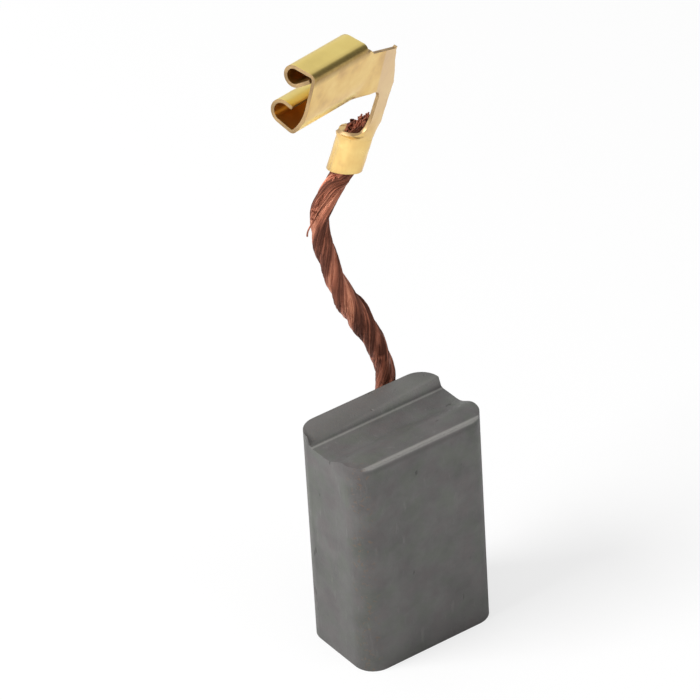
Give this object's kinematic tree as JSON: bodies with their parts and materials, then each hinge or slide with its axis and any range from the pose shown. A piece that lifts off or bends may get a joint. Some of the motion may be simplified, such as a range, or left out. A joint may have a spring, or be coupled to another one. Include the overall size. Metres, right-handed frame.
{
  "type": "carbon brush",
  "caption": "Carbon brush: moulded block with a spring groove, a rope-laid copper lead from its back face, and a rolled and crimped brass flag receptacle.",
  "frame": {"origin": "centre of the contact face, which is the block's lower end", "axes": "+Z from the contact face to the grooved end and the lead, X across the block's broad face, -Y out of the front broad face, with the lead leaving the back face at +Y"},
  "size_m": [0.0137, 0.0109, 0.0533],
  "materials": {
    "carbon": "satin graphite",
    "contact_powder": "matte",
    "copper_lead": "satin",
    "brass_sheet": "satin"
  },
  "bodies": {
    "root": {"brush_block": "carbon", "tamping_fill": "contact_powder", "lead_strand_1": "copper_lead", "lead_strand_2": "copper_lead", "lead_strand_3": "copper_lead", "terminal": "brass_sheet"}
  },
  "joints": []
}
